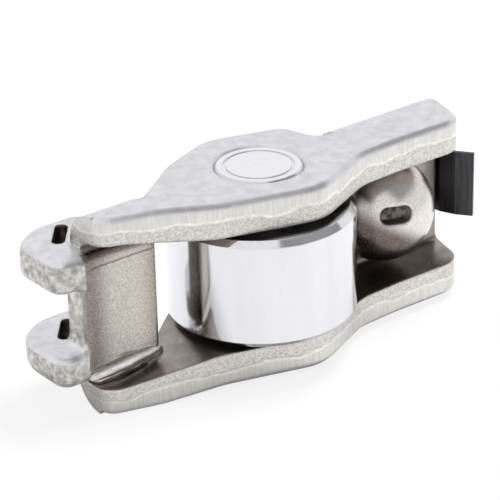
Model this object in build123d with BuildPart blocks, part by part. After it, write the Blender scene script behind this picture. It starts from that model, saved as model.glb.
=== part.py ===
import os
from math import cos, pi, radians, sin

from build123d import *

# Roller finger follower: one folded steel body, a pinned needle roller and a spring clip.
# The arm lies on one cheek, so the roller axis is vertical. +X runs from the valve end to the
# ball-socket end, -Y is the cam side and +Y the valve side. Every sketch is drawn about the
# roller axis with z = 0 on the plane of symmetry; "place" moves the pieces to the frame.

# Folded body
sheet = 3.0                 # thickness of the steel sheet
cheek_inner = 5.55          # inner face of each cheek, from the plane of symmetry
cheek_outer = 8.65
flared_inner = 6.75         # each cheek steps outward, and is coined thinner, towards the valve end
flared_outer = 9.22
inner_step = (-16.3, -8.2)  # where that step starts and ends on the inner face
outer_step = (-13.0, -7.6)
step_bend = 9.0
rim_break = 0.4             # broken edge that the blanking punch leaves on the outer faces
reach = 30                  # half length of the strip that the outline is cut from

# Outline of a cheek, seen along the roller axis
cheek_end = -18.3
arm_near = -4.0             # cam-side edge of the socket arm
nose = (1.25, -7.3)         # corners whose rounding makes the two bosses round the pin
heel = (-0.3, 7.6)
socket_end = 22.35
joint_y = 0.6               # the cheek turns into the socket web beyond this line
joint_x = 9.7
relief_y = 1.5              # notch in the far edge where that bend starts
hem_from = cheek_end + 0.05
hem_to = -12.9              # left of this the cheek is folded back under itself
hem_axis = -0.5
hem_cut = 2.0               # the outline runs on to here and is cut back to the fold
seam_depth = 1.2            # where the seam between the two layers ends
notch_y = 0.5

# Valve pad, the web between the two ears
pad_front = -0.75
pad_back = pad_front + sheet
pad_from = -19.05
pad_to = -11.6
pad_hollow = 0.4            # the cam side of the pad is coined hollow by this much
pad_hollow_reach = 4.7      # half its height
pad_crown = 0.35            # the valve side is crowned
pad_edge = 0.8
pad_middle = (pad_from + pad_to) / 2

# Guide ears either side of the valve stem
ear_inner = 3.07
ear_outer = 5.95
ear_left = -22.05
ear_right = -14.6
ear_far = 7.6
ear_root_far = 3.4          # the ear's far edge slopes down to here over the pad
ear_near_corner = 1.5
ear_far_corner = 4.2
ear_back_corner = 2.0
ear_round = 1.1             # rounded edge on the outer face
ear_break = 0.35            # and a broken one on the face towards the valve stem
gap_bend = 1.2              # hollow corner between the pad's cut end and the ears
hem_bend = (flared_outer - ear_inner) / 2
slot_centre = (-18.0, 4.5)
slot_length = 3.9
slot_width = 1.15
slot_angle = 50

# Ball socket
socket_x = 14.6
dome_y = 0.66
dome_radius = 5.0
ball_radius = 3.6
web_front = 1.2
web_back = web_front + sheet
web_middle = (web_front + web_back) / 2
web_bend = 3.6
web_inner_bend = 0.6
socket_lead_in = 0.5
oil_hole_length = 3.1
oil_hole_width = 1.65
oil_hole_turn = 247         # heading of the oil hole, seen along the roller axis
oil_hole_rise = 1.15        # height of its middle above the plane of symmetry

# Roller, pin and needles
roller_radius = 8.5
roller_width = 10.1
roller_chamfer = 0.55
bore_chamfer = 0.3
pin_radius = 3.9
pin_chamfer = 0.2
hole_chamfer = 0.25
stake_outer = 3.15          # ring that the staking tool leaves in each end of the pin
stake_inner = 2.9
stake_depth = 0.12
needle_count = 19
needle_radius = 0.75
needle_flats = 16           # drawn with flats, which keeps the whole set light
needle_length = 9.2
needle_play = 0.02
needle_pitch = pin_radius + needle_play + needle_radius
bore_radius = needle_pitch + needle_radius + needle_play

# Spring clip
clip_sheet = 0.45
clip_gap = 0.03
clip_low = -2.95
clip_high = 3.35
clip_from = 10.6            # free ends of the fork
clip_root = 21.0
clip_leg_inner = 3.1
clip_leg_outer = 4.9
clip_waist_y = 1.1
clip_crease = (23.15, -0.3)
clip_lip = (24.12, -1.71)   # end of the flared lip
clip_bend = 0.26


def outer_rim(part, keep):
    """The outline edges of a cheek's outer face whose centre "keep" accepts."""
    faces = [f for f in part.faces() if f.normal_at().Z > 0.7 and f.center().Z > cheek_inner]
    edges = []
    for face in faces:
        for edge in face.edges():
            sharing = [f for f in faces if any(edge.is_same(other) for other in f.edges())]
            if len(sharing) == 1 and keep(edge.center()):
                edges.append(edge)
    return edges


# Outline of a cheek and of the web it bends into: corners, each with its rounding
corners = [
    (cheek_end, -1.45, 1.9),
    (*nose, 4.5),
    (8.4, -4.1, 6.0),
    (13.0, -3.9, 0),
    (20.5, arm_near, 2.6),
    (22.0, web_front, 3.0),
    (socket_end, web_back, 0),
    (joint_x, web_back, 0),
    (joint_x, relief_y, 0),
    (8.0, relief_y, 1.4),
    (7.0, 5.3, 1.8),
    (*heel, 4.5),
    (-6.3, 5.3, 6.0),
    (hem_to + 0.5, notch_y, 0.4),
    (hem_to, notch_y, 0),
    (hem_to, hem_cut, 0),
    (cheek_end, hem_cut, 0),
]
with BuildSketch(Plane.XY) as outline:
    with BuildLine():
        Polyline([(x, y) for x, y, rounding in corners], close=True)
    make_face()
    for x, y, rounding in corners:
        if rounding:
            fillet(outline.vertices().sort_by_distance((x, y, 0))[0], rounding)

# Socket web and the bend into it
with BuildPart() as channel:
    with BuildSketch(Plane.YZ.offset(joint_x)) as section:
        with BuildLine():
            Polyline(
                (joint_y - 0.5, cheek_inner),
                (web_front, cheek_inner),
                (web_front, 0),
                (web_back, 0),
                (web_back, cheek_outer),
                (joint_y - 0.5, cheek_outer),
                close=True,
            )
        make_face()
        fillet(section.vertices().sort_by_distance((web_back, cheek_outer, 0))[0], web_bend)
        fillet(section.vertices().sort_by_distance((web_front, cheek_inner, 0))[0], web_inner_bend)
    extrude(amount=reach)
    add(outline.sketch)
    extrude(amount=reach, mode=Mode.INTERSECT)

# Folded body
with BuildPart() as body:
    # Upper cheek
    with BuildSketch(Plane.XZ) as strip:
        with BuildLine():
            Polyline(
                (-reach, flared_inner),
                (inner_step[0], flared_inner),
                (inner_step[1], cheek_inner),
                (reach, cheek_inner),
                (reach, cheek_outer),
                (outer_step[1], cheek_outer),
                (outer_step[0], flared_outer),
                (-reach, flared_outer),
                close=True,
            )
        make_face()
        fillet([v for v in strip.vertices() if abs(v.X) < reach - 1], step_bend)
    extrude(amount=reach, both=True)
    add(outline.sketch)
    extrude(amount=reach, mode=Mode.INTERSECT)
    with Locations((joint_x, joint_y, 0)):
        Box(reach, reach, reach, align=(Align.MIN, Align.MIN, Align.CENTER), mode=Mode.SUBTRACT)
    with Locations((hem_to, hem_axis, 0)):
        Box(reach, reach, reach, align=(Align.MAX, Align.MIN, Align.CENTER), mode=Mode.SUBTRACT)

    # Broken outer edge, but for the stretches where the sheet bends on
    chamfer(outer_rim(body.part, lambda c: hem_to < c.X < joint_x - 0.1 and c.Y > 0), rim_break)
    add(channel.part)
    chamfer(outer_rim(body.part, lambda c: c.Y < hem_axis - 0.4 or c.X > socket_end - 2), rim_break)

    # Hem that folds the cheek back under itself
    with BuildSketch(Plane.YZ.offset(hem_from)) as hem:
        with BuildLine():
            Line((hem_axis, ear_inner), (hem_axis, flared_outer))
            RadiusArc((hem_axis, flared_outer), (hem_axis, ear_inner), hem_bend)
        make_face()
        with Locations((seam_depth, (ear_outer + flared_inner) / 2)):
            Rectangle(5, flared_inner - ear_outer, align=(Align.MAX, Align.CENTER), mode=Mode.SUBTRACT)
    extrude(amount=hem_to - hem_from)

    # Upper ear and the layer it grows from
    with BuildSketch(Plane.XY.offset(ear_inner)) as ear:
        with BuildLine():
            Polyline(
                (ear_left, pad_front),
                (pad_to, pad_front),
                (pad_to, ear_root_far),
                (ear_right, ear_far),
                (ear_left, ear_far),
                close=True,
            )
        make_face()
        for corner, rounding in (
            ((ear_left, pad_front, 0), ear_near_corner),
            ((ear_left, ear_far, 0), ear_far_corner),
            ((ear_right, ear_far, 0), ear_back_corner),
            ((pad_to, ear_root_far, 0), ear_back_corner),
            ((pad_to, pad_front, 0), pad_edge),
        ):
            fillet(ear.vertices().sort_by_distance(corner)[0], rounding)
    extrude(amount=ear_outer - ear_inner)
    brim = body.edges().filter_by_position(Axis.Z, ear_outer - 0.01, ear_outer + 0.01)
    under_hem = [e for e in brim if hem_from - 0.3 < e.center().X < hem_to + 0.1 and -0.6 < e.center().Y < 2.7]
    fillet([e for e in brim if e not in under_hem], ear_round)

    # Upper half of the pad web, crowned towards the valve
    with BuildSketch(Plane.XY) as pad:
        with BuildLine():
            Polyline((pad_from, pad_back), (pad_from, pad_front), (pad_to, pad_front), (pad_to, pad_back))
            ThreePointArc((pad_to, pad_back), (pad_middle, pad_back + pad_crown), (pad_from, pad_back))
        make_face()
        fillet(pad.vertices().sort_by_distance((pad_to, pad_front, 0))[0], pad_edge)
    extrude(amount=ear_inner)
    web_end = body.edges().sort_by_distance((pad_from, (pad_front + pad_back) / 2, ear_inner))[0]
    fillet(web_end, gap_bend)
    underside = body.edges().filter_by_position(Axis.Z, ear_inner - 0.01, ear_inner + 0.01)
    free = [e for e in underside if e.center().X < pad_from - gap_bend or e.center().Y > pad_back + 0.5]
    chamfer(free, ear_break)

    # Lower half
    mirror(about=Plane.XY)

    # Dome and ball socket, drilled and pressed through the socket web
    with BuildSketch() as dome:
        with BuildLine():
            Polyline(
                (socket_x, dome_y - dome_radius),
                (socket_x, web_middle),
                (socket_x + dome_radius, web_middle),
                (socket_x + dome_radius, dome_y),
            )
            RadiusArc((socket_x + dome_radius, dome_y), (socket_x, dome_y - dome_radius), dome_radius)
        make_face()
    revolve(axis=Axis((socket_x, 0, 0), (0, 1, 0)))
    with BuildSketch() as hollow:
        with BuildLine():
            Polyline(
                (socket_x + ball_radius, dome_y),
                (socket_x + ball_radius, web_back - socket_lead_in),
                (socket_x + ball_radius + socket_lead_in, web_back),
                (socket_x, web_back),
                (socket_x, dome_y - ball_radius),
            )
            RadiusArc((socket_x + ball_radius, dome_y), (socket_x, dome_y - ball_radius), ball_radius)
        make_face()
    revolve(axis=Axis((socket_x, 0, 0), (0, 1, 0)), mode=Mode.SUBTRACT)
    heading = (cos(radians(oil_hole_turn)), sin(radians(oil_hole_turn)), 0)
    level = (-heading[1], heading[0], 0)
    oil_plane = Plane(origin=(socket_x, dome_y, oil_hole_rise), x_dir=level, z_dir=heading)
    with BuildSketch(oil_plane.offset(ball_radius / 2)):
        SlotOverall(oil_hole_length, oil_hole_width)
    extrude(amount=dome_radius, mode=Mode.SUBTRACT)

    # Slots through the ears
    with BuildSketch(Plane.XY.offset(-flared_outer)):
        with Locations(Location(slot_centre, slot_angle)):
            SlotOverall(slot_length, slot_width)
    extrude(amount=2 * flared_outer, mode=Mode.SUBTRACT)

    # Coined hollow on the cam side of the pad
    half_pad = (pad_to - pad_from) / 2
    hollow_radius = (half_pad**2 + pad_hollow**2) / (2 * pad_hollow)
    with Locations((pad_middle, pad_front + pad_hollow - hollow_radius, 0)):
        Cylinder(hollow_radius, 2 * pad_hollow_reach, mode=Mode.SUBTRACT)

    # Pin holes
    Cylinder(pin_radius, 2 * cheek_outer, mode=Mode.SUBTRACT)
    mouths = body.edges().filter_by(GeomType.CIRCLE).filter_by(lambda e: abs(e.radius - pin_radius) < 0.01)
    chamfer(mouths.filter_by(lambda e: abs(e.center().Z) > cheek_outer - 0.01), hole_chamfer)

# Axle pin, staked over at both ends
with BuildPart() as axle_pin:
    Cylinder(pin_radius, 2 * cheek_outer)
    chamfer(axle_pin.edges().filter_by(GeomType.CIRCLE), pin_chamfer)
    for side in (-1, 1):
        with BuildSketch(Plane.XY.offset(side * cheek_outer)):
            Circle(stake_outer)
            Circle(stake_inner, mode=Mode.SUBTRACT)
        extrude(amount=-side * stake_depth, mode=Mode.SUBTRACT)

# Roller
with BuildPart() as roller:
    Cylinder(roller_radius, roller_width)
    chamfer(roller.edges().filter_by(GeomType.CIRCLE), roller_chamfer)
    Cylinder(bore_radius, roller_width, mode=Mode.SUBTRACT)
    mouths = roller.edges().filter_by(GeomType.CIRCLE).filter_by(lambda e: e.radius < bore_radius + 0.01)
    chamfer(mouths, bore_chamfer)

# Needles, a full complement
needles = []
for turn in range(needle_count):
    angle = 2 * pi * turn / needle_count
    with BuildPart() as needle:
        with BuildSketch(Plane.XY.offset(-needle_length / 2)):
            with Locations((needle_pitch * cos(angle), needle_pitch * sin(angle))):
                RegularPolygon(needle_radius, needle_flats)
        extrude(amount=needle_length)
    needles.append(needle.part)

# Spring clip: a fork behind the socket web, a bend round its end and a flared lip
with BuildPart() as clip:
    back_line = web_back + clip_gap + clip_sheet / 2
    end_line = socket_end + clip_gap + clip_sheet / 2
    with BuildSketch(Plane.XY.offset(clip_low)):
        with BuildLine():
            FilletPolyline(
                (clip_root, back_line),
                (end_line, back_line),
                (end_line, clip_waist_y),
                clip_crease,
                clip_lip,
                radius=clip_bend,
            )
        trace(line_width=clip_sheet)
    extrude(amount=clip_high - clip_low)
    with BuildSketch(Plane.XZ.offset(-web_back - clip_gap)):
        with Locations(((clip_from + clip_root) / 2, 0)):
            Rectangle(clip_root - clip_from, 2 * clip_leg_outer)
        with Locations((socket_x, 0)):
            Circle(clip_leg_inner, mode=Mode.SUBTRACT)
            Rectangle(
                socket_x - clip_from,
                2 * clip_leg_inner,
                align=(Align.MAX, Align.CENTER),
                mode=Mode.SUBTRACT,
            )
    extrude(amount=-clip_sheet)

# Frame: the middle of the length at x = 0, the underside at z = 0
left = ear_left
right = clip.part.bounding_box().max.X
place = Location((-(left + right) / 2, 0, flared_outer))

body.part.label = "body"
axle_pin.part.label = "axle_pin"
roller.part.label = "roller"
clip.part.label = "retaining_clip"
for number, needle_part in enumerate(needles, start=1):
    needle_part.label = f"needle_{number:02d}"

os.makedirs("parts", exist_ok=True)
for piece in [body.part, axle_pin.part, roller.part, clip.part, *needles]:
    export_step(piece.moved(place), f"parts/{piece.label}.step")
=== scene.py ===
"""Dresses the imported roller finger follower: finishes for its steel parts, a pale studio and a camera."""

import logging
import math
from dataclasses import dataclass, field
from enum import Enum
from functools import partial

import bpy
import numpy as np
from mathutils import Matrix, Vector


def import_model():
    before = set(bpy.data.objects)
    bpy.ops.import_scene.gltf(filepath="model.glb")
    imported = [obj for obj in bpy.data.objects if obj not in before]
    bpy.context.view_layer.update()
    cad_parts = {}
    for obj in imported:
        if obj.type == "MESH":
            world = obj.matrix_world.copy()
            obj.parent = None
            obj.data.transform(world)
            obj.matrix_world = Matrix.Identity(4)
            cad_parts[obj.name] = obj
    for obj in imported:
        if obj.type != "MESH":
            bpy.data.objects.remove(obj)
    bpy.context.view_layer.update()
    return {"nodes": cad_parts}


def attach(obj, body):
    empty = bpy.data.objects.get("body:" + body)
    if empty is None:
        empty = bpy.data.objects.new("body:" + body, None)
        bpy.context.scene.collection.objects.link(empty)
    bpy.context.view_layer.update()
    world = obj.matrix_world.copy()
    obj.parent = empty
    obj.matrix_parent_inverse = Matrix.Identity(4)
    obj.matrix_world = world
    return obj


LOG = logging.getLogger("rocker_arm")
MM = 0.001
IMAGE_SIDE = 500
ROLLER_AXIS_X = -1.128
MID_PLANE_Z = 9.22
# Light tones are glossier than dark ones by this much roughness
GLOSS_SWING = 0.08
# Noise uses about a third of its range, so heights are scaled by three
NOISE_REACH = 3.0


class Zone(Enum):
    """Zones of the folded body, in the order in which their finishes are laid over one another."""

    OUTER_FACE = "outer face"
    FRACTURE = "fractured part of a cut edge"
    BURNISH = "burnished part of a cut edge"
    RIDGE = "line between the two"
    INNER_FACE = "inner face"
    EAR_EDGE = "edge of the guide ears"
    BLASTED = "pad"
    # Painted shade: the pad's sides are painted darker than its middle
    PAD_SIDES_SHADE = "darker sides of the pad"
    DOME = "dome"
    # Painted shade: the dome's foot and the web's end by the roller are painted dark
    PAINTED_SHADE = "foot of the dome and end of the pad"
    # Painted shade: the inside of the socket and of the ear slots is painted dark
    SHADED_BORE = "inside of the socket and of the slots through the ears"


def linear(code: str) -> tuple[float, float, float, float]:
    """Turns an sRGB hex colour into linear light.

    Args:
        code: six hex digits, such as "c8c4c2".

    Returns:
        Red, green, blue and an alpha of one.
    """
    shares = [int(code[i : i + 2], 16) / 255 for i in (0, 2, 4)]
    steps = [s / 12.92 if s <= 0.04045 else ((s + 0.055) / 1.055) ** 2.4 for s in shares]
    return (*steps, 1.0)


def add_node(
    tree: bpy.types.NodeTree, kind: str, settings: dict[str, object], inputs: dict[str | int, object]
) -> bpy.types.Node:
    """Adds a node, sets its properties and fills or links its inputs.

    Args:
        tree: the node tree.
        kind: Blender's name of the node type.
        settings: property name to value.
        inputs: input name or number to a value, or to an output socket to link from.

    Returns:
        The new node.
    """
    node = tree.nodes.new(kind)
    for name, value in settings.items():
        setattr(node, name, value)
    for key, value in inputs.items():
        if isinstance(value, bpy.types.NodeSocket):
            tree.links.new(value, node.inputs[key])
        else:
            node.inputs[key].default_value = value
    return node


def new_material(name: str) -> bpy.types.Material:
    """Returns an empty node material."""
    material = bpy.data.materials.new(name)
    material.use_nodes = True
    material.node_tree.nodes.clear()
    return material


@dataclass(frozen=True)
class Grain:
    """Look of one worked surface: two tones, a gloss and a relief that follow one pattern.

    The pattern is fractal noise whose cells measure size_mm along X, Y and Z. Its low places
    take the dark tone and its high ones the light tone, and they stand relief_mm apart.
    """

    dark: str
    light: str
    roughness: float
    size_mm: tuple[float, float, float]
    relief_mm: float
    contrast: float = 0.16

    def sockets(self, tree: bpy.types.NodeTree, place_mm: bpy.types.NodeSocket) -> "Layer":
        """Adds the nodes of this grain.

        Args:
            tree: the node tree.
            place_mm: position in millimetres.

        Returns:
            Its colour, roughness and height in millimetres.
        """
        add = partial(add_node, tree)
        cells = add("ShaderNodeVectorMath", {"operation": "DIVIDE"}, {0: place_mm, 1: self.size_mm})
        noise = add(
            "ShaderNodeTexNoise",
            {},
            {"Vector": cells.outputs["Vector"], "Scale": 1.0, "Detail": 3.0, "Roughness": 0.6},
        ).outputs["Fac"]
        tone = add(
            "ShaderNodeMapRange",
            {"interpolation_type": "SMOOTHSTEP"},
            {"Value": noise, "From Min": 0.5 - self.contrast, "From Max": 0.5 + self.contrast},
        ).outputs["Result"]
        colour = add("ShaderNodeMix", {"data_type": "RGBA"}, {0: tone, 6: linear(self.dark), 7: linear(self.light)})
        gloss = add(
            "ShaderNodeMath",
            {"operation": "MULTIPLY_ADD"},
            {0: tone, 1: -GLOSS_SWING, 2: self.roughness + GLOSS_SWING / 2},
        )
        height = add("ShaderNodeMath", {"operation": "MULTIPLY"}, {0: noise, 1: self.relief_mm * NOISE_REACH})
        return Layer(colour.outputs[2], gloss.outputs["Value"], height.outputs["Value"])


@dataclass(frozen=True)
class Layer:
    """Colour, roughness and height sockets of a surface."""

    colour: bpy.types.NodeSocket
    roughness: bpy.types.NodeSocket
    height: bpy.types.NodeSocket

    def under(self, tree: bpy.types.NodeTree, mask: bpy.types.NodeSocket, upper: "Layer") -> "Layer":
        """Lays another surface over this one.

        Args:
            tree: the node tree.
            mask: one where the upper surface shows.
            upper: the surface laid over it.

        Returns:
            The two together.
        """
        add = partial(add_node, tree)
        colour = add("ShaderNodeMix", {"data_type": "RGBA"}, {0: mask, 6: self.colour, 7: upper.colour}).outputs[2]
        pairs = ((self.roughness, upper.roughness), (self.height, upper.height))
        mixed = [add("ShaderNodeMix", {}, {0: mask, 2: low, 3: high}).outputs[0] for low, high in pairs]
        return Layer(colour, *mixed)


def finish_metal(tree: bpy.types.NodeTree, layer: Layer, bevel_mm: float) -> None:
    """Turns a surface into bare metal with broken edges and connects it to the output.

    Args:
        tree: the node tree.
        layer: the surface.
        bevel_mm: radius over which sharp edges look rounded.
    """
    add = partial(add_node, tree)
    soft = add("ShaderNodeBevel", {"samples": 6}, {"Radius": bevel_mm * MM}).outputs["Normal"]
    bump = add("ShaderNodeBump", {}, {"Height": layer.height, "Distance": MM, "Normal": soft}).outputs["Normal"]
    shader = add(
        "ShaderNodeBsdfPrincipled",
        {},
        {"Base Color": layer.colour, "Metallic": 1.0, "Roughness": layer.roughness, "Normal": bump},
    )
    add("ShaderNodeOutputMaterial", {}, {"Surface": shader.outputs["BSDF"]})


def place_in_mm(tree: bpy.types.NodeTree) -> bpy.types.NodeSocket:
    """Returns the position on the piece in millimetres."""
    place = add_node(tree, "ShaderNodeTexCoord", {}, {}).outputs["Object"]
    return add_node(tree, "ShaderNodeVectorMath", {"operation": "SCALE"}, {0: place, 3: 1 / MM}).outputs["Vector"]


def ramp(tree: bpy.types.NodeTree, value: bpy.types.NodeSocket, start: float, end: float) -> bpy.types.NodeSocket:
    """Adds a soft step.

    Args:
        tree: the node tree.
        value: what the step reads.
        start: value at which it is nought.
        end: value at which it is one, which may lie below the start.

    Returns:
        The step.
    """
    settings = {"interpolation_type": "SMOOTHSTEP"}
    if start < end:
        return add_node(
            tree, "ShaderNodeMapRange", settings, {"Value": value, "From Min": start, "From Max": end}
        ).outputs["Result"]
    return add_node(
        tree,
        "ShaderNodeMapRange",
        settings,
        {"Value": value, "From Min": end, "From Max": start, "To Min": 1.0, "To Max": 0.0},
    ).outputs["Result"]


def both(tree: bpy.types.NodeTree, *masks: bpy.types.NodeSocket) -> bpy.types.NodeSocket:
    """Returns the product of masks: where all of them hold."""
    result = masks[0]
    for mask in masks[1:]:
        result = add_node(tree, "ShaderNodeMath", {"operation": "MULTIPLY"}, {0: result, 1: mask}).outputs[0]
    return result


@dataclass(frozen=True)
class TumbledSheetSteel:
    """Case-hardened sheet steel, blanked, folded and tumbled in stone chips.

    The punch leaves a burnished band with fine upright drag lines on each cut edge and a torn,
    grainy band beside it. Tumbling makes the outer faces satin. The pad and the dome are
    shot-blasted, which gives them a dark sparkling grain. The pad's sides, the dome's foot, the
    web's end by the roller and the inside of the socket and of the ear slots are painted darker:
    this is painted shade, and at the dome's foot also a painted reflection of the lower cheek.
    The inner faces are drawn a darker brown-grey. Grain finer than a tenth of a millimetre is
    drawn at about 0.2 mm.
    """

    grains: dict[Zone, Grain] = field(
        default_factory=lambda: {
            Zone.OUTER_FACE: Grain("cfced3", "e4e3e8", 0.34, (1.1, 1.1, 1.1), 0.003, 0.3),
            Zone.FRACTURE: Grain("b5b1ab", "e2e0dc", 0.38, (0.24, 0.24, 0.2), 0.018, 0.28),
            Zone.BURNISH: Grain("c9c7c3", "dddbd8", 0.34, (0.16, 0.16, 2.2), 0.006, 0.25),
            Zone.RIDGE: Grain("d8d6d2", "eae8e5", 0.3, (0.5, 0.5, 0.5), 0.004),
            Zone.INNER_FACE: Grain("8d857e", "a39b95", 0.3, (1.4, 1.4, 1.4), 0.004, 0.3),
            Zone.BLASTED: Grain("aaa29a", "d2ccc6", 0.26, (0.15, 0.15, 0.15), 0.006, 0.3),
            # Painted shade on the pad's sides
            Zone.PAD_SIDES_SHADE: Grain("6f6862", "9c958e", 0.26, (0.15, 0.15, 0.15), 0.006, 0.3),
            Zone.EAR_EDGE: Grain("97948f", "dad8d5", 0.38, (0.6, 0.6, 0.6), 0.03, 0.24),
            Zone.DOME: Grain("c6c0ba", "e8e5e1", 0.24, (0.15, 0.15, 0.15), 0.004, 0.3),
            # Painted shade and painted reflection at the dome's foot, painted shade at the web's end
            Zone.PAINTED_SHADE: Grain("5a524c", "7d746c", 0.28, (0.2, 0.2, 0.2), 0.006, 0.3),
            # Painted shade inside the socket and the ear slots
            Zone.SHADED_BORE: Grain("4a443f", "857c74", 0.5, (0.8, 0.8, 0.8), 0.03),
        }
    )
    inner_mm: tuple[float, float] = (6.75, 5.55)
    outer_mm: tuple[float, float] = (9.22, 8.65)
    inner_step_mm: tuple[float, float] = (-17.43, -9.33)
    outer_step_mm: tuple[float, float] = (-14.13, -8.73)
    ear_mm: tuple[float, float] = (3.07, 5.95)
    dome_centre_mm: tuple[float, float, float] = (13.472, 0.66, MID_PLANE_Z)
    foot_slope: float = 0.6
    pad_middle_mm: float = -16.0
    slot_centre_mm: tuple[float, float, float] = (-19.128, 4.5, 0.0)
    wander_mm: tuple[float, float, float] = (3.2, 3.2, 6.0)
    wander_share: float = 0.5
    bevel_mm: float = 0.45

    # Soft borders, as the values where each mask is nought and where it is one
    cut_flatness: tuple[float, float] = (0.72, 0.5)
    ear_height_mm: tuple[float, float] = (6.2, 6.1)
    ear_right_mm: tuple[float, float] = (-12.5, -12.6)
    burnish_share: tuple[float, float] = (0.71, 0.77)
    ridge_start_share: tuple[float, float] = (0.64, 0.71)
    ridge_end_share: tuple[float, float] = (0.8, 0.73)
    inward_turn_mm: tuple[float, float] = (-2.5, -4.0)
    inward_height_mm: tuple[float, float] = (5.0, 5.3)
    web_height_mm: tuple[float, float] = (5.6, 5.4)
    web_front_mm: tuple[float, float] = (7.0, 7.4)
    web_front_facing: tuple[float, float] = (-0.5, -0.8)
    web_end_mm: tuple[float, float] = (-10.0, -10.5)
    web_end_facing: tuple[float, float] = (0.6, 0.8)
    pad_right_mm: tuple[float, float] = (-12.4, -12.6)
    pad_left_mm: tuple[float, float] = (-20.35, -20.1)
    pad_height_mm: tuple[float, float] = (6.1, 5.85)
    pad_back_mm: tuple[float, float] = (0.2, 0.0)
    pad_side_mm: tuple[float, float] = (1.0, 3.9)
    dome_from_mm: tuple[float, float] = (4.7, 4.9)
    dome_to_mm: tuple[float, float] = (5.4, 5.1)
    dome_back_mm: tuple[float, float] = (1.25, 1.1)
    bore_mm: tuple[float, float] = (4.85, 4.5)
    slot_mm: tuple[float, float] = (2.1, 2.0)
    foot_mm: tuple[float, float] = (17.0, 14.9)

    def build(self) -> bpy.types.Material:
        """Builds the material.

        Returns:
            The finished material.
        """
        material = new_material("tumbled_sheet_steel")
        tree = material.node_tree
        add = partial(add_node, tree)
        place = place_in_mm(tree)
        masks = self.masks(tree, place)
        layers = {zone: grain.sockets(tree, place) for zone, grain in self.grains.items()}
        surface = layers[Zone.OUTER_FACE]
        for zone, mask in masks.items():
            surface = surface.under(tree, mask, layers[zone])
        finish_metal(tree, surface, self.bevel_mm)
        return material

    def masks(self, tree: bpy.types.NodeTree, place: bpy.types.NodeSocket) -> dict[Zone, bpy.types.NodeSocket]:
        """Works out where each zone lies from the position and the way the surface faces.

        Args:
            tree: the node tree.
            place: position in millimetres.

        Returns:
            Zone to mask, for every zone but the lowest.
        """
        add = partial(add_node, tree)
        axes = add("ShaderNodeSeparateXYZ", {}, {0: place}).outputs
        facing = add("ShaderNodeSeparateXYZ", {}, {0: add("ShaderNodeNewGeometry", {}, {}).outputs["Normal"]}).outputs
        off_mid = add("ShaderNodeMath", {"operation": "SUBTRACT"}, {0: axes["Z"], 1: MID_PLANE_Z}).outputs[0]
        height = add("ShaderNodeMath", {"operation": "ABSOLUTE"}, {0: off_mid}).outputs[0]
        flatness = add("ShaderNodeMath", {"operation": "ABSOLUTE"}, {0: facing["Z"]}).outputs[0]
        cut = ramp(tree, flatness, *self.cut_flatness)

        # Share of the sheet's thickness, counted from its torn side
        walls = [
            add(
                "ShaderNodeMapRange",
                {},
                {
                    "Value": axes["X"],
                    "From Min": step[0],
                    "From Max": step[1],
                    "To Min": levels[0],
                    "To Max": levels[1],
                },
            ).outputs["Result"]
            for step, levels in ((self.inner_step_mm, self.inner_mm), (self.outer_step_mm, self.outer_mm))
        ]
        above = add("ShaderNodeMath", {"operation": "SUBTRACT"}, {0: height, 1: walls[0]}).outputs[0]
        sheet = add("ShaderNodeMath", {"operation": "SUBTRACT"}, {0: walls[1], 1: walls[0]}).outputs[0]
        cheek_share = add("ShaderNodeMath", {"operation": "DIVIDE"}, {0: above, 1: sheet}).outputs[0]
        ear_share = add(
            "ShaderNodeMapRange",
            {},
            {"Value": height, "From Min": self.ear_mm[1], "From Max": self.ear_mm[0]},
        ).outputs["Result"]
        on_ear = both(tree, ramp(tree, height, *self.ear_height_mm), ramp(tree, axes["X"], *self.ear_right_mm))
        share = add("ShaderNodeMix", {}, {0: on_ear, 2: cheek_share, 3: ear_share}).outputs[0]
        waves = add("ShaderNodeVectorMath", {"operation": "DIVIDE"}, {0: place, 1: self.wander_mm}).outputs["Vector"]
        wander = add("ShaderNodeTexNoise", {}, {"Vector": waves, "Scale": 1.0, "Detail": 2.0}).outputs["Fac"]
        shifted = add(
            "ShaderNodeMath", {"operation": "MULTIPLY_ADD"}, {0: wander, 1: self.wander_share, 2: share}
        ).outputs[0]

        # Inner faces look towards the plane of symmetry
        turned = add("ShaderNodeMath", {"operation": "MULTIPLY"}, {0: off_mid, 1: facing["Z"]}).outputs[0]
        inward = both(
            tree, ramp(tree, turned, *self.inward_turn_mm), ramp(tree, height, *self.inward_height_mm)
        )
        web_front = both(
            tree,
            ramp(tree, axes["X"], *self.web_front_mm),
            ramp(tree, facing["Y"], *self.web_front_facing),
            ramp(tree, height, *self.web_height_mm),
        )
        inner = add("ShaderNodeMath", {"operation": "MAXIMUM"}, {0: inward, 1: web_front}).outputs[0]
        web_end = both(
            tree,
            ramp(tree, axes["X"], *self.web_end_mm),
            ramp(tree, facing["X"], *self.web_end_facing),
            ramp(tree, height, *self.web_height_mm),
        )

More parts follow.
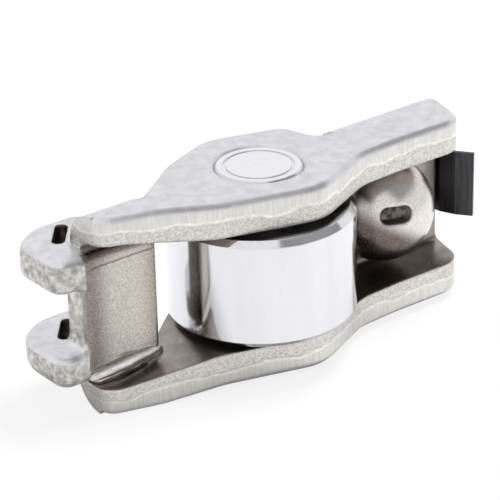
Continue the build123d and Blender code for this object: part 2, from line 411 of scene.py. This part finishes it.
        # Pad and dome
        pad = both(
            tree,
            ramp(tree, axes["X"], *self.pad_right_mm),
            ramp(tree, axes["X"], *self.pad_left_mm),
            ramp(tree, height, *self.pad_height_mm),
            ramp(tree, axes["Y"], *self.pad_back_mm),
        )
        aside = add("ShaderNodeMath", {"operation": "SUBTRACT"}, {0: axes["X"], 1: self.pad_middle_mm}).outputs[0]
        from_pad_mid = add("ShaderNodeMath", {"operation": "ABSOLUTE"}, {0: aside}).outputs[0]
        from_dome = add("ShaderNodeVectorMath", {"operation": "DISTANCE"}, {0: place, 1: self.dome_centre_mm})
        away = from_dome.outputs["Value"]
        ball = both(
            tree,
            ramp(tree, away, *self.dome_from_mm),
            ramp(tree, away, *self.dome_to_mm),
            ramp(tree, axes["Y"], *self.dome_back_mm),
        )
        # Painted shade: the dome is painted dark towards its foot, lower and further left, and the web's end by the
        # roller is painted dark too
        depth = add(
            "ShaderNodeMath", {"operation": "MULTIPLY_ADD"}, {0: axes["X"], 1: self.foot_slope, 2: axes["Z"]}
        ).outputs[0]
        foot = both(tree, ball, ramp(tree, depth, *self.foot_mm))
        dark = add("ShaderNodeMath", {"operation": "MAXIMUM"}, {0: foot, 1: web_end}).outputs[0]
        # Painted shade: the inside of the ear slots and of the socket is painted dark
        over = add("ShaderNodeVectorMath", {"operation": "MULTIPLY"}, {0: place, 1: (1.0, 1.0, 0.0)}).outputs["Vector"]
        from_slot = add("ShaderNodeVectorMath", {"operation": "DISTANCE"}, {0: over, 1: self.slot_centre_mm})
        slot = both(tree, ramp(tree, from_slot.outputs["Value"], *self.slot_mm), cut)
        bore = ramp(tree, away, *self.bore_mm)
        bore = add("ShaderNodeMath", {"operation": "MAXIMUM"}, {0: bore, 1: slot}).outputs[0]
        return {
            Zone.FRACTURE: cut,
            Zone.BURNISH: both(tree, cut, ramp(tree, shifted, *self.burnish_share)),
            Zone.RIDGE: both(
                tree, cut, ramp(tree, shifted, *self.ridge_start_share), ramp(tree, shifted, *self.ridge_end_share)
            ),
            Zone.INNER_FACE: inner,
            Zone.EAR_EDGE: both(tree, cut, on_ear),
            Zone.BLASTED: pad,
            # Painted shade: the pad darkens towards its sides
            Zone.PAD_SIDES_SHADE: both(tree, pad, ramp(tree, from_pad_mid, *self.pad_side_mm)),
            Zone.DOME: ball,
            Zone.PAINTED_SHADE: dark,
            Zone.SHADED_BORE: bore,
        }


@dataclass(frozen=True)
class GroundBearingSteel:
    """Through-hardened bearing steel, ground and superfinished round its axis.

    The barrel reflects like a slightly blurred mirror; faint lines run round it, and the flat ends
    show fine rings where the wheel passed over them.
    """

    name: str
    barrel: Grain
    ends: Grain
    end_flatness: tuple[float, float] = (0.85, 0.95)
    bevel_mm: float = 0.12

    def build(self) -> bpy.types.Material:
        """Builds the material.

        Returns:
            The finished material.
        """
        material = new_material(self.name)
        tree = material.node_tree
        add = partial(add_node, tree)
        place = place_in_mm(tree)
        from_axis = add(
            "ShaderNodeVectorMath", {"operation": "SUBTRACT"}, {0: place, 1: (ROLLER_AXIS_X, 0.0, 0.0)}
        ).outputs["Vector"]
        flat = add(
            "ShaderNodeVectorMath", {"operation": "MULTIPLY"}, {0: from_axis, 1: (1.0, 1.0, 0.0)}
        ).outputs["Vector"]
        radius = add("ShaderNodeVectorMath", {"operation": "LENGTH"}, {0: flat}).outputs["Value"]
        rings = add("ShaderNodeCombineXYZ", {}, {"X": radius}).outputs["Vector"]
        facing = add("ShaderNodeSeparateXYZ", {}, {0: add("ShaderNodeNewGeometry", {}, {}).outputs["Normal"]}).outputs
        flatness = add("ShaderNodeMath", {"operation": "ABSOLUTE"}, {0: facing["Z"]}).outputs[0]
        surface = self.barrel.sockets(tree, place)
        surface = surface.under(tree, ramp(tree, flatness, *self.end_flatness), self.ends.sockets(tree, rings))
        finish_metal(tree, surface, self.bevel_mm)
        return material


@dataclass(frozen=True)
class BlackOxideSpringSteel:
    """Hardened spring strip, blackened in hot salts: nearly black, semi-matt, with rolling lines."""

    grain: Grain = Grain("3a3a3d", "555558", 0.42, (0.25, 0.25, 5.0), 0.003, 0.3)
    bevel_mm: float = 0.1

    def build(self) -> bpy.types.Material:
        """Builds the material.

        Returns:
            The finished material.
        """
        material = new_material("black_oxide_spring_steel")
        tree = material.node_tree
        finish_metal(tree, self.grain.sockets(tree, place_in_mm(tree)), self.bevel_mm)
        return material


def dress(nodes: dict[str, bpy.types.Object], names: list[str], material: bpy.types.Material) -> None:
    """Gives CAD nodes a material.

    Args:
        nodes: node name to object.
        names: the nodes to dress.
        material: their finish.
    """
    for name in names:
        mesh = nodes[name].data
        mesh.materials.clear()
        mesh.materials.append(material)
        LOG.info("dressed %s with %s", name, material.name)


@dataclass
class FoldedArm:
    """The folded body with its cheeks, ears, pad and ball socket."""

    finish: TumbledSheetSteel = field(default_factory=TumbledSheetSteel)

    def build(self, nodes: dict[str, bpy.types.Object]) -> None:
        """Dresses the body.

        Args:
            nodes: node name to object.
        """
        dress(nodes, ["body"], self.finish.build())


@dataclass(frozen=True)
class RubbedSeamSteel:
    """The same sheet where the forming tool rubbed it: smoother and brighter than the torn edges."""

    grain: Grain = Grain("bdb9b4", "e4e1dd", 0.3, (0.6, 0.3, 0.3), 0.01, 0.28)
    bevel_mm: float = 0.05

    def build(self) -> bpy.types.Material:
        """Builds the material.

        Returns:
            The finished material.
        """
        material = new_material("rubbed_seam_steel")
        tree = material.node_tree
        finish_metal(tree, self.grain.sockets(tree, place_in_mm(tree)), self.bevel_mm)
        return material


@dataclass
class SeamBead:
    """Metal that the forming pressed up where the pad runs into the lower cheek.

    With the sizes below it is the bead seen along the seam. With others it is the seam's root,
    a thicker and flatter body that fills the space behind the bead.
    """

    name: str = "seam_bead"
    start_mm: tuple[float, float, float] = (-20.4, -0.72, 3.85)
    end_mm: tuple[float, float, float] = (-12.75, -0.55, 4.2)
    half_depth_mm: float = 0.42
    half_height_mm: float = 0.6
    swell: float = 0.12
    # Height, turn in radians per unit of t and starting turn of each wave
    waves: tuple[tuple[float, float, float], ...] = ((0.6, 5.3, 1.0), (0.4, 11.7, 0.0))
    rings: int = 158
    around: int = 24
    finish: RubbedSeamSteel = RubbedSeamSteel()

    def surface(self) -> tuple[np.ndarray, list[list[int]]]:
        """Works out the bead's skin.

        Each point lies on an ellipse across the bead, whose middle runs straight from start to end.
        With t from -1 to 1 along the bead, the ellipse's size is the square root of one less the
        fourth power of t, times one plus a small swell made of two sine waves of t. A single point
        closes each end.

        Returns:
            Points in metres, and faces as lists of point numbers.
        """
        t = -np.cos(np.pi * np.arange(1, self.rings + 1) / (self.rings + 1))[:, None]
        turn = (2 * np.pi * np.arange(self.around) / self.around)[None, :]
        wave = sum(share * np.sin(rate * t + phase) for share, rate, phase in self.waves)
        size = np.sqrt(1 - t**4) * (1 + self.swell * wave)
        start, end = np.array(self.start_mm), np.array(self.end_mm)
        middle = start + 0.5 * (t + 1) * (end - start)
        depth = self.half_depth_mm * np.cos(turn) * size
        height = self.half_height_mm * np.sin(turn) * size
        across = np.stack(np.broadcast_arrays(0.0, depth, height), axis=-1)
        points = np.concatenate(((middle[:, None, :] + across).reshape(-1, 3), [start], [end]))
        ring = np.arange(self.rings - 1)[:, None] * self.around
        here = np.arange(self.around)[None, :]
        after = (here + 1) % self.around
        quads = np.stack((ring + here, ring + after, ring + after + self.around, ring + here + self.around), axis=-1)
        last = (self.rings - 1) * self.around
        poles = self.rings * self.around
        first_fan = np.stack(np.broadcast_arrays(poles, after[0], here[0]), axis=-1)
        last_fan = np.stack(np.broadcast_arrays(poles + 1, last + here[0], last + after[0]), axis=-1)
        return points * MM, [*quads.reshape(-1, 4).tolist(), *first_fan.tolist(), *last_fan.tolist()]

    def build(self, nodes: dict[str, bpy.types.Object]) -> None:
        """Builds the bead and fixes it to the arm.

        Args:
            nodes: node name to object.
        """
        points, faces = self.surface()
        mesh = bpy.data.meshes.new(self.name)
        mesh.from_pydata(points, [], faces)
        mesh.polygons.foreach_set("use_smooth", np.ones(len(faces), dtype=bool))
        mesh.materials.append(self.finish.build())
        bead = bpy.data.objects.new(self.name, mesh)
        bpy.context.scene.collection.objects.link(bead)
        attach(bead, "arm")
        LOG.info("built %s beside %s", bead.name, nodes["body"].name)


@dataclass
class RollerBearing:
    """Roller, its pin and the full complement of needles."""

    roller: GroundBearingSteel = GroundBearingSteel(
        "superfinished_roller_steel",
        Grain("dbdbdf", "e2e2e6", 0.12, (2.0, 2.0, 12.0), 0.0002, 0.3),
        Grain("d4d4d8", "e4e4e8", 0.2, (0.15, 1.0, 1.0), 0.001, 0.3),
    )
    pin: GroundBearingSteel = GroundBearingSteel(
        "ground_pin_steel",
        Grain("d0ced2", "dcdade", 0.25, (40.0, 40.0, 0.3), 0.0005, 0.3),
        Grain("e8e7ec", "f2f1f6", 0.3, (0.5, 1.0, 1.0), 0.001, 0.3),
    )

    def build(self, nodes: dict[str, bpy.types.Object]) -> None:
        """Dresses the roller, the pin and the needles.

        Args:
            nodes: node name to object.
        """
        polished = self.roller.build()
        dress(nodes, ["roller", *sorted(n for n in nodes if n.startswith("needle"))], polished)
        dress(nodes, ["axle_pin"], self.pin.build())


@dataclass
class RetainingClip:
    """Spring clip round the end of the socket web."""

    finish: BlackOxideSpringSteel = BlackOxideSpringSteel()

    def build(self, nodes: dict[str, bpy.types.Object]) -> None:
        """Dresses the clip.

        Args:
            nodes: node name to object.
        """
        dress(nodes, ["retaining_clip"], self.finish.build())


@dataclass
class Studio:
    """White bench, even soft light, one broad lamp overhead, a grey card and the camera."""

    focal_px: float = 2400.0
    turn_deg: float = -38.0
    height_deg: float = 25.54
    roll_deg: float = -1.40
    distance_mm: float = 215.7
    right_mm: float = -1.133
    up_mm: float = 8.203
    bench_mm: float = 0.535
    sensor_mm: float = 36.0
    clip_m: tuple[float, float] = (0.01, 10.0)
    bench_half_side_mm: float = 600.0
    lamp_side_mm: float = 80.0
    lamp_place_mm: tuple[float, float, float] = (70.0, 0.0, 225.0)
    lamp_watts: float = 0.38
    air: float = 0.62
    bench_lift: float = 0.82
    flag_place_mm: tuple[float, float, float] = (105.0, -120.0, 190.0)
    flag_side_mm: tuple[float, float] = (300.0, 180.0)
    flag_colour: str = "acacae"

    def axes(self) -> tuple[Vector, Vector, Vector]:
        """Works out the camera's axes.

        Returns:
            Unit vectors to its right, up and back.
        """
        turn, height, roll = (math.radians(a) for a in (self.turn_deg, self.height_deg, self.roll_deg))
        back = Vector((math.sin(turn) * math.cos(height), -math.cos(turn) * math.cos(height), math.sin(height)))
        flat_right = Vector((math.cos(turn), math.sin(turn), 0.0))
        flat_up = back.cross(flat_right)
        right = math.cos(roll) * flat_right + math.sin(roll) * flat_up
        up = -math.sin(roll) * flat_right + math.cos(roll) * flat_up
        return right, up, back

    def add_camera(self) -> None:
        """Creates the camera and makes it the scene's own."""
        right, up, back = self.axes()
        place = self.right_mm * right + self.up_mm * up + self.distance_mm * back
        place += Vector((ROLLER_AXIS_X, 0.0, self.bench_mm))
        data = bpy.data.cameras.new("camera")
        data.sensor_width = self.sensor_mm
        data.lens = self.focal_px / IMAGE_SIDE * data.sensor_width
        data.clip_start, data.clip_end = self.clip_m
        camera = bpy.data.objects.new("camera", data)
        turn = Matrix((right, up, back)).transposed().to_4x4()
        camera.matrix_world = Matrix.Translation(place * MM) @ turn
        bpy.context.scene.collection.objects.link(camera)
        bpy.context.scene.camera = camera

    def add_bench(self) -> None:
        """Lays the white bench, a square of matt laminate."""
        side = self.bench_half_side_mm * MM
        corners = [(-side, -side, 0), (side, -side, 0), (side, side, 0), (-side, side, 0)]
        mesh = bpy.data.meshes.new("bench")
        mesh.from_pydata(corners, [], [(0, 1, 2, 3)])
        bench = bpy.data.objects.new("bench", mesh)
        bpy.context.scene.collection.objects.link(bench)
        material = new_material("white_laminate")
        tree = material.node_tree
        lit = add_node(tree, "ShaderNodeBsdfDiffuse", {}, {"Color": linear("ffffff")}).outputs["BSDF"]
        white = add_node(tree, "ShaderNodeEmission", {}, {"Color": linear("ffffff")}).outputs["Emission"]
        seen = add_node(tree, "ShaderNodeLightPath", {}, {}).outputs["Is Camera Ray"]
        lift = add_node(tree, "ShaderNodeMath", {"operation": "MULTIPLY"}, {0: seen, 1: self.bench_lift}).outputs[0]
        shade = add_node(tree, "ShaderNodeMixShader", {}, {0: lift, 1: lit, 2: white}).outputs["Shader"]
        add_node(tree, "ShaderNodeOutputMaterial", {}, {"Surface": shade})
        mesh.materials.append(material)

    def add_flag(self) -> None:
        """Hangs a grey card high on the right, which draws a darker line along the rounded edges."""
        place = Vector(self.flag_place_mm) * MM
        turn = place.to_track_quat("Z", "Y").to_matrix()
        half_x, half_y = (0.5 * side * MM for side in self.flag_side_mm)
        corners = [(-half_x, -half_y), (-half_x, half_y), (half_x, half_y), (half_x, -half_y)]
        mesh = bpy.data.meshes.new("grey_flag")
        mesh.from_pydata([place + turn @ Vector((x, y, 0.0)) for x, y in corners], [], [(0, 1, 2, 3)])
        flag = bpy.data.objects.new("grey_flag", mesh)
        bpy.context.scene.collection.objects.link(flag)
        material = new_material("grey_card")
        tree = material.node_tree
        shader = add_node(tree, "ShaderNodeBsdfDiffuse", {}, {"Color": linear(self.flag_colour)})
        add_node(tree, "ShaderNodeOutputMaterial", {}, {"Surface": shader.outputs["BSDF"]})
        mesh.materials.append(material)

    def add_lamp(self) -> None:
        """Hangs one soft lamp overhead, which lights the bench; the steel mirrors only air, bench and card."""
        data = bpy.data.lights.new("softbox", "AREA")
        data.size = self.lamp_side_mm * MM
        data.energy = self.lamp_watts
        lamp = bpy.data.objects.new("softbox", data)
        lamp.visible_glossy = False
        place = Vector(self.lamp_place_mm) * MM
        lamp.matrix_world = Matrix.Translation(place) @ place.to_track_quat("Z", "Y").to_matrix().to_4x4()
        bpy.context.scene.collection.objects.link(lamp)

    def add_air(self) -> None:
        """Surrounds the scene with even light; the camera and reflections see it as plain white."""
        world = bpy.data.worlds.new("studio_air")
        world.use_nodes = True
        tree = world.node_tree
        tree.nodes.clear()
        add = partial(add_node, tree)
        path = add("ShaderNodeLightPath", {}, {}).outputs
        seen = add("ShaderNodeMath", {"operation": "MAXIMUM"}, {0: path["Is Camera Ray"], 1: path["Is Glossy Ray"]})
        seen = add("ShaderNodeMath", {"operation": "MAXIMUM"}, {0: seen.outputs[0], 1: path["Is Transmission Ray"]})
        strength = add("ShaderNodeMapRange", {}, {"Value": seen.outputs[0], "To Min": self.air, "To Max": 1.0})
        sky = add("ShaderNodeBackground", {}, {"Color": linear("ffffff"), "Strength": strength.outputs["Result"]})
        add("ShaderNodeOutputWorld", {}, {"Surface": sky.outputs["Background"]})
        bpy.context.scene.world = world

    def build(self) -> None:
        """Builds the studio and sets the view transform."""
        self.add_camera()
        self.add_bench()
        self.add_flag()
        self.add_lamp()
        self.add_air()
        bpy.context.scene.view_settings.view_transform = "Standard"
        LOG.info("studio built")


def main() -> None:
    """Loads the frame, dresses each sub-assembly and builds the studio."""
    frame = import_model()
    seam_root = SeamBead(
        name="seam_root",
        start_mm=(-19.2, 0.5, 2.75),
        end_mm=(-11.8, 0.6, 3.4),
        half_depth_mm=0.8,
        half_height_mm=0.7,
    )
    for assembly in (FoldedArm(), SeamBead(), seam_root, RollerBearing(), RetainingClip()):
        assembly.build(frame["nodes"])
    Studio().build()


if __name__ == "__main__":
    logging.basicConfig(level=logging.INFO)
    main()
